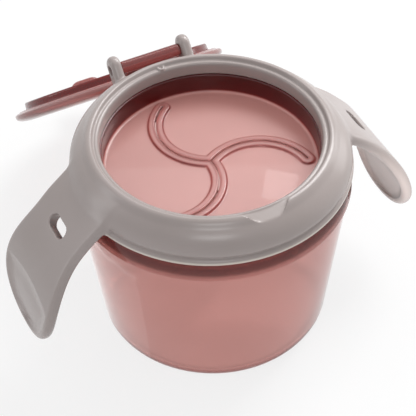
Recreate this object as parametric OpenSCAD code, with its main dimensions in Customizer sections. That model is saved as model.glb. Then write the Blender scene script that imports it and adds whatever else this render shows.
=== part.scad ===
// Toddler snack container: bowl, slitted membrane insert, two-handled collar and hinged lid.
// Millimetres, +Z up, origin at the centre of the bowl's base, thumb notch towards -Y,
// lid hinge towards +Y, handles towards -X and +X. The lid is drawn swung open.

/* [Bowl] */
// Height of the bowl from the table to its rim
bowl_h = 80; // [60:1:110]
// Wall thickness of the bowl
bowl_wall = 1.8; // [1.2:0.1:3]
// Thickness of the bowl's floor
bowl_floor = 2.2; // [1.5:0.1:4]
// Draft of the bowl's side, in degrees
bowl_draft = 6.8; // [2:0.1:8]
// Outside radius of the corner between base and side
bowl_corner = 7; // [4:0.5:12]
// Height of the plain band that shows below the collar
band_h = 7.7; // [4:0.1:12]
// Step from the band down to the side wall
band_step = 0.9; // [0.3:0.1:1.5]
// Radial room between the bowl's neck and the collar's skirt
fit_gap = 0.3; // [0.1:0.05:0.6]

/* [Collar] */
// Radius of the hand opening
mouth_r = 40.4; // [34:0.1:50]
// Height of the opening's wall, from its seat to the groove in the lip
mouth_h = 5.5; // [4.5:0.1:9]
// Height of the collar, from the groove in the lip to the edge of the skirt
collar_h = 14.2; // [12:0.1:20]
// Radial width of the lip and shoulder, from the opening to the bowl's neck
shoulder_w = 8.6; // [8:0.1:12]
// Wall thickness of the skirt
skirt_wall = 2.5; // [1.8:0.1:3.5]
// Radius of the thumb notch in the front of the lip
notch_r = 10.6; // [7:0.1:14]
// Depth of the thumb notch below the groove
notch_depth = 0.7; // [0.3:0.1:1.2]
// Fall of the notch's floor towards the front, in degrees
notch_fall = 12; // [6:1:20]

/* [Membrane insert] */
// Thickness of the membrane and of the insert's flange
membrane_t = 1.2; // [0.8:0.1:2]
// Depth of the membrane's upper face below the flange's upper face
membrane_depth = 8.3; // [5:0.1:12]
// Wall thickness of the insert's cup
insert_wall = 1.2; // [0.8:0.1:2]
// Step from the collar's opening in to the insert's wall
insert_step = 0.6; // [0.2:0.1:1.5]
// Radius of the three arcs that the slits follow
slit_r = 20.5; // [16:0.5:20.5]
// Width of the slits
slit_w = 0.5; // [0.3:0.05:0.8]
// Direction of the first arc's centre, in degrees from +X
slit_turn = 65; // [0:1:119]
// Overall width of the raised bead along a slit
bead_w = 5.6; // [3:0.1:8]
// Height of the bead above the membrane
bead_h = 0.8; // [0.3:0.1:1.2]
// Gap at the root of a flap
root_gap = 0.3; // [0.2:0.05:0.5]
// Backward slope of a flap's root edge, in degrees
root_bevel = 35; // [32:1:45]
// Length of the web kept at the closed end of a flap's root
root_web = 4; // [3:0.5:6]

/* [Handles] */
// Length of a handle along its middle line
handle_l = 62.8; // [54:0.2:72]
// Thickness of a handle
handle_t = 4.2; // [3.4:0.1:5.5]
// Width of a handle where it leaves the collar
handle_w = 34; // [28:0.2:38]
// Width of the paddle at the end of a handle
paddle_w = 41.8; // [38:0.2:46]
// Slope of the handle at the collar, in degrees below level
root_slope = 45.4; // [40:0.2:50]
// Slope of the handle at its tip, in degrees below level
tip_slope = 88.8; // [78:0.2:92]
// Extra width of the root where it runs into the shoulder
root_flare = 0.9; // [0:0.1:3]
// Depth of the handle's middle line below the groove in the lip, where it enters the shoulder
root_drop = 8.4; // [6:0.1:9.5]
// Distance along the handle where it starts to steepen
bend_from = 10.9; // [4:0.1:14]
// Distance before the tip where it stops steepening
bend_to = 8.8; // [4:0.1:14]
// Distance along the handle where it starts to widen
widen_from = 16.4; // [4:0.1:20]
// Downward bow of the root's side edges
root_bow = 1.7; // [0:0.1:3]
// Depth of the dish in the outer face of the paddle
dish_out = 1.1; // [0:0.1:1.4]
// Depth of the dish in the inner face of the paddle
dish_in = 0.9; // [0:0.1:1.2]
// Plain rim left around the dishes
dish_rim = 2.6; // [1.5:0.1:5]
// Length of the dishes, up from the rim at the tip
dish_l = 21; // [14:0.5:30]
// Width of the slope at a dish's edge
dish_ramp = 6; // [3:0.5:9]
// Length of the strap slot
slot_l = 11.5; // [8:0.5:16]
// Width of the strap slot
slot_w = 5.5; // [5:0.1:7]
// Distance of the slot's middle along the handle
slot_at = 16.2; // [13:0.1:20]

/* [Hinge] */
// Distance of the hinge pin outside the hand opening
hinge_out = 12; // [11.6:0.1:14]
// Depth of the hinge pin below the groove in the lip
hinge_drop = 3; // [1:0.1:4]
// Half of the clear width between the two ears
ear_half = 12.35; // [9:0.05:16]
// Thickness of an ear
ear_t = 4.3; // [3:0.1:6]
// Radius of an ear's rounded end
ear_r = 4; // [3.4:0.1:5]
// Lean of the ears back from upright, in degrees
ear_lean = 41; // [30:1:50]
// Distance from the pin to the middle of the ear's rounded end
ear_reach = 1.3; // [0.5:0.1:3]
// Radius of the hinge pins
pin_r = 1.95; // [1.4:0.05:2.4]
// Radial clearance of a pin in its bore
pin_clear = 0.05; // [0.02:0.01:0.1]
// Length of pin inside each ear
pin_l = 3.2; // [1.5:0.1:4]
// Radius of the barrel between the ears
barrel_r = 2.4; // [2.1:0.05:2.6]
// Side play between the barrel and each ear
side_play = 0.15; // [0.05:0.05:0.3]

/* [Lid] */
// Radial overhang of the lid's flange past the crest of the lip
flange_over = 1.5; // [0.8:0.1:2]
// Thickness of the lid's rim
rim_t = 2.3; // [1.8:0.1:3]
// Rise of the lid's face above its rim
dome_h = 2; // [1:0.1:4]
// Wall thickness of the lid
lid_wall = 1.7; // [1.2:0.1:2.4]
// Height of the plug ring below the rim
plug_h = 3.5; // [2:0.1:4]
// Radial room between the plug ring and the hand opening
plug_gap = 0.5; // [0.3:0.05:0.9]
// Gap between the closed lid and the crest of the lip
lid_gap = 0.1; // [0.05:0.05:0.3]
// Width of the hinge strap
strap_w = 21; // [12:0.5:23]
// Thickness of the hinge strap and of the thumb tab
strap_t = 2.1; // [1.5:0.1:2.6]
// Width of the thumb tab
tab_w = 15.4; // [10:0.1:18]
// Radius of the thumb tab's corners
tab_round = 5; // [2:0.1:5]
// Drop of the thumb tab below the rim's underside
tab_drop = 6; // [3:0.1:7]
// Angle that the lid has swung back from closed, in degrees
lid_open = 222.5; // [0:0.5:222.5]

/* [Hidden] */
$fn = 96;
eps = 0.01;
pink = [0.80, 0.55, 0.52, 0.75];
pale_pink = [0.86, 0.70, 0.68, 0.8];
soft_pink = [0.85, 0.60, 0.57];
greige = [0.62, 0.57, 0.56];

// Heights, from the table up
seat_z = bowl_h + membrane_t;
lip_z = seat_z + mouth_h;
skirt_z = lip_z - collar_h;
band_z = skirt_z - band_h;
crest_z = lip_z + 0.9;
disc_top = seat_z - membrane_depth;
disc_low = disc_top - membrane_t;

// Radii, from the hand opening out
groove_r = mouth_r + 1.9;
crest_r = mouth_r + 3.2;
neck_r = mouth_r + shoulder_w;
skirt_in = neck_r + fit_gap;
skirt_r = skirt_in + skirt_wall;
band_r = skirt_r + 0.2;
wall_r = band_r - band_step;
insert_r = mouth_r - insert_step;

// Points of a smooth curve through a and d, led by b and c
function curve(a, b, c, d, n = 10) =
    [for (i = [0:n]) let (t = i / n, u = 1 - t)
        u * u * u * a + 3 * u * u * t * b + 3 * u * t * t * c + t * t * t * d];
function smooth(t) = let (k = min(max(t, 0), 1)) k * k * (3 - 2 * k);
function dir(a) = [cos(a), sin(a)];
function arc(c, r, a0, a1, n = 8) = [for (i = [0:n]) c + r * dir(a0 + (a1 - a0) * i / n)];

// ---------------------------------------------------------------- bowl
// The side is a straight drafted wall, tangent to the corner arc at the base. "inset" moves the
// profile inwards by a wall, "z0" is the height of the floor it stands on.
side_top = [wall_r, band_z - band_step];
function corner_arc(inset, z0, r) =
    let (low = side_top + [-cos(bowl_draft), sin(bowl_draft)] * (inset + r),
         k = (z0 + r - low[1]) / cos(bowl_draft),
         c = [low[0] + sin(bowl_draft) * k, z0 + r])
    arc(c, r, -90, -bowl_draft);
neck_in = neck_r - bowl_wall;
wall_in = side_top + [-cos(bowl_draft), sin(bowl_draft)] * bowl_wall;

module bowl() {
    color(pink)
    rotate_extrude()
    polygon(concat(
        [[0, 0]],
        corner_arc(0, 0, bowl_corner),
        [side_top],
        curve([wall_r + 0.1, band_z - 0.8 * band_step], [wall_r + 0.3, band_z - 0.7 * band_step],
              [band_r, band_z - 0.5 * band_step], [band_r, band_z], 5),
        [[band_r - 0.5, band_z + 2],
         [skirt_in + 1.4, skirt_z - fit_gap],
         [neck_r, skirt_z - fit_gap],
         [neck_r, bowl_h - 0.4],
         [neck_r - 0.4, bowl_h],
         [neck_in + 0.4, bowl_h],
         [neck_in, bowl_h - 0.4],
         [neck_in, skirt_z - 2]],
        curve([neck_in, skirt_z - 2], [neck_in, skirt_z - 4],
              [wall_in[0], band_z + 1], [wall_in[0], wall_in[1] - 0.5], 6),
        [for (p = [1:9]) corner_arc(bowl_wall, bowl_floor, bowl_corner - bowl_wall)[9 - p]],
        [[0, bowl_floor]]));
}

// ---------------------------------------------------------------- membrane insert
// Each arm is a 120 degree arc that starts at the middle, drawn here with its centre on +X.
root_dir = 60;
arm_c = [slit_r, 0];

module arm_stroke(w) {
    intersection() {
        translate(arm_c)
        difference() {
            circle(r = slit_r + w / 2);
            circle(r = slit_r - w / 2);
        }
        translate(arm_c)
        polygon([[0, 0], 3 * slit_r * dir(root_dir), 3 * slit_r * dir(120), 3 * slit_r * dir(180)]);
    }
    circle(d = w);
    translate(arm_c + slit_r * dir(root_dir)) circle(d = w);
}

module all_arms(w) {
    for (k = [0:2]) rotate(-120 * k) arm_stroke(w);
}

// A flap: the half disc inside an arm, less the next arm's disc. "gap" trims its root edges.
module flap_outline(gap) {
    difference() {
        intersection() {
            translate(arm_c) circle(r = slit_r);
            translate(arm_c)
            rotate(root_dir)
            translate([root_web + gap - slit_r, gap])
            square([2 * slit_r, 2 * slit_r]);
        }
        rotate(-120) translate(arm_c) circle(r = slit_r);
    }
}

module flap_bead(w) {
    intersection() {
        all_arms(w);
        flap_outline(root_gap);
    }
}

module flap() {
    translate([0, 0, disc_low])
    difference() {
        union() {
            linear_extrude(membrane_t) flap_outline(root_gap);
            linear_extrude(membrane_t + bead_h) flap_bead(bead_w);
        }
        // The slit's own width
        translate([0, 0, -1]) linear_extrude(membrane_t + bead_h + 2) all_arms(slit_w);
        // Sloped root edge, so that the flap can swing up as well as down
        translate([arm_c[0], arm_c[1], 0])
        rotate([0, 0, root_dir])
        translate([0, root_gap, 0])
        rotate([-root_bevel, 0, 0])
        translate([-2 * slit_r, -20, -10])
        cube([4 * slit_r, 20, 30]);
    }
}

module membrane_flap_1() {
    color(soft_pink) rotate(slit_turn) flap();
}

module membrane_flap_2() {
    color(soft_pink) rotate(slit_turn - 120) flap();
}

module membrane_flap_3() {
    color(soft_pink) rotate(slit_turn - 240) flap();
}

module membrane_insert() {
    flange_r = neck_r - 0.5;
    color(soft_pink)
    difference() {
        union() {
            // Flange, cup wall and disc in one turned shape
            rotate_extrude()
            polygon(concat(
                [[0, disc_low],
                 [insert_r + insert_wall - 2, disc_low]],
                arc([insert_r + insert_wall - 2, disc_low + 2], 2, -90, 0, 5),
                [[insert_r + insert_wall, seat_z - membrane_t],
                 [flange_r, seat_z - membrane_t],
                 [flange_r, seat_z],
                 [insert_r + 0.3, seat_z],
                 [insert_r, seat_z - 0.3]],
                arc([insert_r - 1.2, disc_top + 1.2], 1.2, 0, -90, 4),
                [[0, disc_top]]));
            translate([0, 0, disc_low])
            linear_extrude(membrane_t + bead_h)
            rotate(slit_turn)
            all_arms(bead_w);
        }
        translate([0, 0, disc_low - 1])
        linear_extrude(membrane_t + bead_h + 2)
        rotate(slit_turn)
        union() {
            all_arms(slit_w);
            for (k = [0:2]) rotate(-120 * k) flap_outline(0);
        }
    }
}

// ---------------------------------------------------------------- collar
shoulder_pts = curve([mouth_r + 3.9, lip_z + 0.1], [mouth_r + 7.3, lip_z - 1.7],
                     [skirt_r - 0.2, lip_z - 5.2], [skirt_r, lip_z - 10], 14);

module collar_ring() {
    rotate_extrude()
    polygon(concat(
        [[mouth_r, seat_z]],
        curve([mouth_r, lip_z - 0.6], [mouth_r, lip_z], [mouth_r + 0.5, lip_z + 0.3],
              [mouth_r + 1.2, lip_z + 0.3], 5),
        curve([mouth_r + 1.3, lip_z + 0.3], [mouth_r + 1.5, lip_z + 0.3],
              [groove_r - 0.3, lip_z], [groove_r, lip_z], 4),
        curve([groove_r + 0.05, lip_z], [groove_r + 0.4, lip_z],
              [crest_r - 0.7, crest_z], [crest_r, crest_z], 5),
        curve([crest_r + 0.1, crest_z], [crest_r + 0.4, crest_z],
              [crest_r + 0.5, lip_z + 0.35], [crest_r + 0.68, lip_z + 0.12], 4),
        shoulder_pts,
        [[skirt_r - 0.5, lip_z - 10.8],
         [skirt_r - 0.5, lip_z - 11.3]],
        curve([skirt_r - 0.4, lip_z - 11.5], [skirt_r + 0.2, lip_z - 11.9],
              [skirt_r + 0.5, lip_z - 12.4], [skirt_r + 0.5, skirt_z + 0.9], 4),
        curve([skirt_r + 0.5, skirt_z + 0.8], [skirt_r + 0.5, skirt_z + 0.3],
              [skirt_r + 0.3, skirt_z], [skirt_r - 0.2, skirt_z], 4),
        [[neck_r - 4, skirt_z],
         [neck_r - 4, seat_z]]));
}

// What the bowl's neck fills, and the coring groove that keeps the lip's wall even
module collar_void() {
    core_in = mouth_r + 2.3;
    core_out = skirt_in - 2.4;
    rotate_extrude()
    polygon([
        [0, skirt_z - 60],
        [skirt_in + 0.7, skirt_z - 60],
        [skirt_in + 0.7, skirt_z],
        [skirt_in, skirt_z + 0.9],
        [skirt_in, seat_z],
        [core_out, seat_z],
        [core_out, lip_z - 4.1],
        [core_out - 1.7, lip_z - 2.5],
        [core_in + 0.8, lip_z - 1.8],
        [core_in, lip_z - 1.8],
        [core_in, seat_z],
        [0, seat_z]]);
}

// Handle: a dished paddle lofted along a middle line that steepens from collar to tip
tip_r = paddle_w / 2 - 1;
root_in = 5;
straight_n = 22;
tip_n = 10;
side_n = 6;
face_n = 14;
function slope_at(s) =
    root_slope + (tip_slope - root_slope) * smooth((s - bend_from) / (handle_l - bend_to));
function width_at(s) =
    let (w = handle_w + (paddle_w - handle_w) * smooth((s - widen_from) / (handle_l - tip_r - widen_from))
             + root_flare * (1 - smooth((s + root_in) / 14)),
         k = min(max((s - handle_l + tip_r) / tip_r, 0), 1))
    w * pow(1 - pow(k, 2.2), 1 / 2.2);
function thick_at(s) =
    let (k = min(max((s - handle_l + handle_t / 2) / (handle_t / 2), 0), 1))
    handle_t * sqrt(1 - k * k);
stations = concat(
    [for (i = [0:straight_n]) -root_in + (handle_l - tip_r + root_in) * i / straight_n],
    [for (i = [1:tip_n]) handle_l - tip_r + (tip_r - 0.08) * sin(90 * i / tip_n)]);
line_start = [skirt_r - 3 - root_in * cos(root_slope), lip_z - root_drop + root_in * sin(root_slope)];
line_pts = [for (i = 0, p = line_start; i < len(stations);
        p = i < len(stations) - 1
            ? p + (stations[i + 1] - stations[i])
                * [cos(slope_at((stations[i] + stations[i + 1]) / 2)),
                   -sin(slope_at((stations[i] + stations[i + 1]) / 2))]
            : p,
        i = i + 1) p];
dish_from = handle_l - dish_rim - dish_l;
function dish_half(s) =
    let (k = min(max((s - handle_l + tip_r) / (tip_r - dish_rim), 0), 1))
    (paddle_w / 2 - dish_rim) * pow(1 - pow(k, 2.2), 1 / 2.2);
// How deep the dish is at a point of the paddle, from 0 at its edge to 1
function dish(s, u) =
    let (top = s - dish_from - 16 * pow(u / paddle_w, 2),
         k = min(max(min(dish_half(s) - abs(u), top) / dish_ramp, 0), 1))
    k * (2 - k);
// The root bows down at its sides, so that it lies in the round shoulder
function bow(s, u) = root_bow * pow(u / (handle_w / 2), 2) * (1 - smooth((s + root_in) / 18));
function ring_uv(s) =
    let (w = width_at(s) / 2, h = min(thick_at(s) / 2, w), b = max(w - h, 0.01))
    concat(
        [for (i = [0:side_n]) let (a = -90 + 180 * i / side_n)
            [b + h * cos(a), thick_at(s) / 2 * sin(a)]],
        [for (i = [1:face_n]) let (u = b - 2 * b * i / (face_n + 1))
            [u, thick_at(s) / 2 - dish_out * dish(s, u)]],
        [for (i = [0:side_n]) let (a = 90 + 180 * i / side_n)
            [-b + h * cos(a), thick_at(s) / 2 * sin(a)]],
        [for (i = [1:face_n]) let (u = -b + 2 * b * i / (face_n + 1))
            [u, -thick_at(s) / 2 + dish_in * dish(s, u)]]);
ring_n = 2 * (side_n + 1) + 2 * face_n;
// Closes an end of the handle, with triangles laid across its ring of points from side to side
function end_faces(base, reverse) =
    [for (i = [0:ring_n / 2 - 1])
        let (a = side_n / 2 + i, b = (side_n / 2 - i + ring_n) % ring_n, c = (b - 1 + ring_n) % ring_n)
        for (t = concat(i < ring_n / 2 - 1 ? [[a, a + 1, c]] : [], i > 0 ? [[a, c, b]] : []))
            [for (j = reverse ? [2, 1, 0] : [0, 1, 2]) base + t[j]]];

module handle_solid() {
    pts = [for (i = [0:len(stations) - 1])
        let (s = stations[i], m = slope_at(s), p = line_pts[i])
        for (q = ring_uv(s)) let (v = q[1] - bow(s, q[0]))
        [p[0] + v * sin(m), q[0], p[1] + v * cos(m)]];
    n = len(stations);
    faces = concat(
        end_faces(0, false),
        [for (i = [0:n - 2], j = [0:ring_n - 1]) let (k = (j + 1) % ring_n, a = i * ring_n, b = a + ring_n)
            [a + j, b + j, b + k]],
        [for (i = [0:n - 2], j = [0:ring_n - 1]) let (k = (j + 1) % ring_n, a = i * ring_n, b = a + ring_n)
            [a + j, b + k, a + k]],
        end_faces((n - 1) * ring_n, true));
    polyhedron(points = pts, faces = faces);
}

slot_i = search(1, [for (s = stations) s < slot_at ? 0 : 1])[0];
slot_p = line_pts[slot_i - 1] + (line_pts[slot_i] - line_pts[slot_i - 1])
    * (slot_at - stations[slot_i - 1]) / (stations[slot_i] - stations[slot_i - 1]);

module handle_slot() {
    translate([slot_p[0], 0, slot_p[1]])
    rotate([0, slope_at(slot_at), 0])
    translate([0, 0, -2 * handle_t])
    linear_extrude(4 * handle_t)
    union() {
        square([slot_l - slot_w, slot_w], center = true);
        for (x = [-1, 1]) translate([x * (slot_l - slot_w) / 2, 0]) circle(d = slot_w);
    }
}

// Hinge
hinge_y = mouth_r + hinge_out;
hinge_z = lip_z - hinge_drop;

module at_hinge() {
    translate([0, hinge_y, hinge_z]) children();
}

// One ear, drawn with its end up along +Z and the pin's axis along X through the origin
module ear_shape() {
    translate([0, 0, ear_reach])
    rotate([0, 90, 0])
    rotate_extrude()
    intersection() {
        union() {
            translate([ear_r - ear_t / 2, 0]) circle(d = ear_t);
            translate([0, -ear_t / 2]) square([ear_r - ear_t / 2, ear_t]);
        }
        translate([0, -ear_t]) square([2 * ear_r, 2 * ear_t]);
    }
    translate([0, 0, ear_reach - 11])
    linear_extrude(11)
    union() {
        square([ear_t, 2 * ear_r - ear_t], center = true);
        for (y = [-1, 1]) translate([0, y * (ear_r - ear_t / 2)]) circle(d = ear_t);
    }
}

module ear() {
    at_hinge() rotate([-ear_lean, 0, 0]) ear_shape();
}

module collar() {
    color(greige)
    difference() {
        union() {
            collar_ring();
            handle_solid();
            mirror([1, 0, 0]) handle_solid();
            for (s = [-1, 1]) translate([s * (ear_half + ear_t / 2), 0, 0]) ear();
            // Moulding gate, low in the groove at the back
            translate([0, groove_r + 0.1, lip_z - 1]) cylinder(r = 1.3, h = 1.3);
        }
        collar_void();
        translate([0, 0, seat_z - 1]) cylinder(r = mouth_r, h = mouth_h + 3);
        // Thumb notch: a round cut outside the groove, with a falling floor
        intersection() {
            translate([0, -(mouth_r - 3.7), lip_z - 5]) cylinder(r = notch_r, h = 10);
            difference() {
                translate([0, 0, lip_z - 5]) cylinder(r = skirt_r + 5, h = 10);
                translate([0, 0, lip_z - 6]) cylinder(r = groove_r, h = 12);
            }
            translate([0, -groove_r, lip_z - notch_depth])
            rotate([notch_fall, 0, 0])
            translate([-20, -20, 0])
            cube([40, 40, 10]);
        }
        at_hinge()
        rotate([0, 90, 0])
        cylinder(r = pin_r + pin_clear, h = 2 * (ear_half + ear_t) + 4, center = true);
        handle_slot();
        mirror([1, 0, 0]) handle_slot();
    }
}

// ---------------------------------------------------------------- lid, drawn closed
rim_low = crest_z + lid_gap;
rim_top = rim_low + rim_t;
flange_r = crest_r + flange_over;
plug_r = mouth_r - plug_gap;
face_z = rim_top + dome_h;

module lid_shell() {
    rotate_extrude()
    polygon(concat(
        // The underside follows the lip: low on its inner bead, high outside its crest
        [[plug_r, lip_z + 0.3 + lid_gap],
         [groove_r, lip_z + 0.3 + lid_gap]],
        curve([groove_r + 0.1, lip_z + 0.3 + lid_gap], [groove_r + 0.6, rim_low - 0.4],
              [crest_r - 0.8, rim_low], [crest_r + 0.2, rim_low], 5),
        curve([crest_r + 0.4, rim_low + 0.05], [crest_r + 0.8, rim_low + 0.2],
              [flange_r - 0.1, rim_low + 0.4], [flange_r, rim_low + 1], 5),
        curve([flange_r, rim_top - 0.8], [flange_r - 0.1, rim_top + 0.3],
              [flange_r - 1.6, face_z - 0.7], [flange_r - 6, face_z - 0.35], 10),
        [[0, face_z],
         [0, face_z - lid_wall]],
        curve([plug_r - lid_wall - 4, face_z - lid_wall - 0.35],
              [plug_r - lid_wall - 1.5, face_z - lid_wall - 0.4],
              [plug_r - lid_wall, face_z - lid_wall - 1.2],
              [plug_r - lid_wall, rim_top], 5),
        [[plug_r - lid_wall, rim_low - plug_h + 0.5],
         [plug_r - lid_wall + 0.4, rim_low - plug_h],
         [plug_r - 0.6, rim_low - plug_h],
         [plug_r - 0.2, rim_low - plug_h + 0.5]]));
}

// A band of even thickness along a curve in the YZ plane, swept across X
module bent_band(pts, t, w) {
    n = len(pts);
    nrm = [for (i = [0:n - 1])
        let (d = pts[min(i + 1, n - 1)] - pts[max(i - 1, 0)])
        [-d[1], d[0]] / norm(d)];
    rotate([90, 0, 90])
    translate([0, 0, -w / 2])
    linear_extrude(w)
    polygon(concat([for (i = [0:n - 1]) pts[i] + nrm[i] * t / 2],
                   [for (i = [n - 1:-1:0]) pts[i] - nrm[i] * t / 2]));
}

mid_z = rim_low + rim_t / 2;

module strap() {
    bent_band(curve([crest_r - 0.1, mid_z + 0.25], [flange_r + 1.4, mid_z + 0.15],
                    [hinge_y - 3.2, hinge_z + 3.2], [hinge_y - 0.6, hinge_z + 0.4], 10),
              strap_t, strap_w);
}

module thumb_tab() {
    tip_z = rim_low - tab_drop;
    intersection() {
        bent_band(curve([-(flange_r - 3), mid_z], [-(flange_r + 4), mid_z + 0.3],
                        [-(skirt_r), mid_z - 1.5], [-(skirt_r + 0.3), tip_z], 10),
                  strap_t * 0.9, tab_w + 2);
        // Arched outline: round corners under a straight root
        translate([0, 0, tip_z + tab_round])
        rotate([90, 0, 0])
        linear_extrude(2 * skirt_r)
        union() {
            for (x = [-1, 1]) translate([x * (tab_w / 2 - tab_round), 0]) circle(r = tab_round);
            translate([tab_round - tab_w / 2, -tab_round]) square([tab_w - 2 * tab_round, 40]);
            translate([-tab_w / 2, 0]) square([tab_w, 30]);
        }
    }
}

module lid_closed() {
    lid_shell();
    strap();
    thumb_tab();
    at_hinge() rotate([0, 90, 0]) cylinder(r = barrel_r, h = 2 * (ear_half - side_play), center = true);
    at_hinge() rotate([0, 90, 0]) cylinder(r = pin_r, h = 2 * (ear_half + pin_l), center = true);
}

module lid() {
    color(pale_pink)
    translate([0, hinge_y, hinge_z])
    rotate([-lid_open, 0, 0])
    translate([0, -hinge_y, -hinge_z])
    lid_closed();
}

bowl();
membrane_insert();
membrane_flap_1();
membrane_flap_2();
membrane_flap_3();
collar();
lid();
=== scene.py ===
import itertools
import math

import bmesh
import bpy
import numpy as np
from mathutils import Matrix, Vector


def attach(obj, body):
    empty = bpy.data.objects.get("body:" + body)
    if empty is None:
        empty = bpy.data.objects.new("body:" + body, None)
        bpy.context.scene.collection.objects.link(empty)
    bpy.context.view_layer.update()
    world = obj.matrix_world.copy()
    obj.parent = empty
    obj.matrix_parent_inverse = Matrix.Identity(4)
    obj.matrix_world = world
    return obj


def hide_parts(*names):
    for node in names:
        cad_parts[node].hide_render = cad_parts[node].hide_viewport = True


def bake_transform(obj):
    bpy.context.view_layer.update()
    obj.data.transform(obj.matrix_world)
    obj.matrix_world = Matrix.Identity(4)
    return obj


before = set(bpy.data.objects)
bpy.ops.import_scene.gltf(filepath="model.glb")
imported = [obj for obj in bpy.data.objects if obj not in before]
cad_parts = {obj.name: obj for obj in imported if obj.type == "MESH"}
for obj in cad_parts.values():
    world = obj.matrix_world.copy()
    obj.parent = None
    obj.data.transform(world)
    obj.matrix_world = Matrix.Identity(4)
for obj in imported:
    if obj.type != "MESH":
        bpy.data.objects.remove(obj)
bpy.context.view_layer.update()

MM = 0.001

# ------------------------------------------------------------------ sizes, in mm and degrees
# Bowl: its side and foot, and the thick band below the collar
bowl_h, bowl_wall, bowl_floor, bowl_draft, bowl_corner = 80.0, 1.8, 2.2, 6.8, 7.0
band_h, band_step, fit_gap = 7.7, 0.9, 0.3

# Collar: mouth, shoulder and skirt, the thumb notch, and the gate mark between the ears
mouth_r, mouth_h, collar_h, shoulder_w, skirt_wall = 40.4, 5.5, 14.2, 8.6, 2.5
shoulder_h, skirt_lip_h, skirt_lip_out, skirt_groove_h, skirt_groove_in = 9.4, 2.2, 0.5, 2.9, 1.0
notch_r, notch_in, notch_depth, notch_fall = 10.6, 3.7, 0.7, 12.0
gate_r, gate_stand, dimple_r, dimple_depth = 1.5, 0.15, 0.65, 0.4

# Membrane insert: cup wall and disc, the three curved slits with their bead, the flaps' roots
membrane_t, membrane_depth, insert_wall, insert_step = 1.2, 8.3, 1.2, 0.6
slit_r, slit_w, slit_turn, slit_from, slit_to = 20.5, 0.5, 65.0, 60, 180
bead_w, bead_h, bead_side, root_bend = 5.6, 0.8, 0.7, 5.0

# Handles: a strap that bends down and widens to a dished paddle with a round end
handle_l, handle_t, handle_w, paddle_w, paddle_oval = 62.8, 4.2, 34.0, 41.8, 2.2
root_slope, tip_slope, root_drop, root_in = 45.4, 88.8, 8.4, 5.0
root_flare, flare_l, root_bow, bow_l = 0.9, 14, 1.7, 18
bend_from, bend_to, widen_from = 10.9, 8.8, 16.4
dish_out, dish_in, dish_rim, dish_l, dish_bow = 1.1, 1.0, 2.6, 21.0, 16
dish_ramp, dish_ramp_in = 6.0, 3.4
slot_l, slot_w, slot_at = 11.5, 5.5, 16.2

# Hinge: two leaning ears, and the lid's barrel with a pin at each end
hinge_out, hinge_drop, ear_half, ear_t, ear_r, ear_l = 12.0, 3.0, 12.35, 4.3, 4.0, 11
ear_lean, ear_reach, pin_r, pin_clear, pin_l = 41.0, 1.3, 1.95, 0.05, 3.2
barrel_r, side_play = 2.4, 0.15

# Lid: rim, crowned face, plug ring, strap and thumb tab
flange_over, rim_t, dome_h, lid_wall, plug_h, plug_gap, lid_gap = 1.5, 2.3, 2.0, 1.7, 3.5, 0.5, 0.1
strap_w, strap_t, tab_w, tab_round, tab_drop, lid_open = 21.0, 2.1, 15.4, 5.0, 6.0, 222.5

# Faces that rest on each other stand this far apart
seat_gap = 0.03

# Roundings: thick edges of the collar, where its parts run into the ring, and its cut edges
edge_r, handle_blend, ear_blend, slot_edge, notch_edge, bore_edge = 1.9, 1.6, 1.0, 0.5, 0.3, 0.25

# Heights and radii that follow from them
seat_z = bowl_h + membrane_t
lip_z = seat_z + mouth_h
skirt_z = lip_z - collar_h
band_z = skirt_z - band_h
crest_z = lip_z + 0.9
lip_low, groove_z = lip_z - 0.3, lip_z - 0.55
disc_top = seat_z - membrane_depth
disc_low = disc_top - membrane_t
groove_r = mouth_r + 1.9
crest_r = mouth_r + 3.2
neck_r = mouth_r + shoulder_w
neck_in = neck_r - bowl_wall
neck_top = skirt_z - fit_gap
skirt_in = neck_r + fit_gap
skirt_r = skirt_in + skirt_wall
shoulder_low = lip_z - shoulder_h
skirt_lip_z = skirt_z + skirt_lip_h
skirt_lip_r = skirt_r + skirt_lip_out
skirt_groove_z = skirt_z + skirt_groove_h
skirt_groove_r = skirt_r - skirt_groove_in
band_r = skirt_r + 0.2
wall_r = band_r - band_step
insert_r = mouth_r - insert_step
flange_out = neck_r - 0.5
tip_r = paddle_w / 2 - 1
dish_from = handle_l - dish_rim - dish_l
hinge_y = mouth_r + hinge_out
hinge_z = lip_z - hinge_drop
rim_low = crest_z + lid_gap
rim_top = rim_low + rim_t
flange_r = crest_r + flange_over
plug_r = mouth_r - plug_gap
plug_in = plug_r - lid_wall
plug_top = lip_z + 0.3 + lid_gap
face_z = rim_top + dome_h
face_in = face_z - lid_wall


# ------------------------------------------------------------------ 2D helpers
def unit(a):
    """The direction at a degrees."""
    return np.array([math.cos(math.radians(a)), math.sin(math.radians(a))])


def curve(a, b, c, d, n=10):
    """Points along a smooth curve from a to d, which leaves towards b and arrives from c."""
    a, b, c, d = (np.array(p, float) for p in (a, b, c, d))
    return [tuple((1 - t) ** 3 * a + 3 * (1 - t) ** 2 * t * b
                  + 3 * (1 - t) * t * t * c + t ** 3 * d)
            for t in np.linspace(0, 1, n + 1)]


def arc(c, r, a0, a1, n=8):
    """Points on a circle about c, from a0 to a1 degrees."""
    return [tuple(np.array(c, float) + r * unit(a)) for a in np.linspace(a0, a1, n + 1)]


def ease(t):
    """A smooth step from 0 to 1 while t goes from 0 to 1."""
    k = np.clip(t, 0, 1)
    return k * k * (3 - 2 * k)


def band_outline(pts, t):
    """The outline of a band with thickness t along a line."""
    pts = np.array(pts)
    d = np.gradient(pts, axis=0)
    n = np.stack([-d[:, 1], d[:, 0]], 1) / np.linalg.norm(d, axis=1)[:, None]
    return [tuple(p) for p in pts + n * t / 2] + [tuple(p) for p in (pts - n * t / 2)[::-1]]


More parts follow.
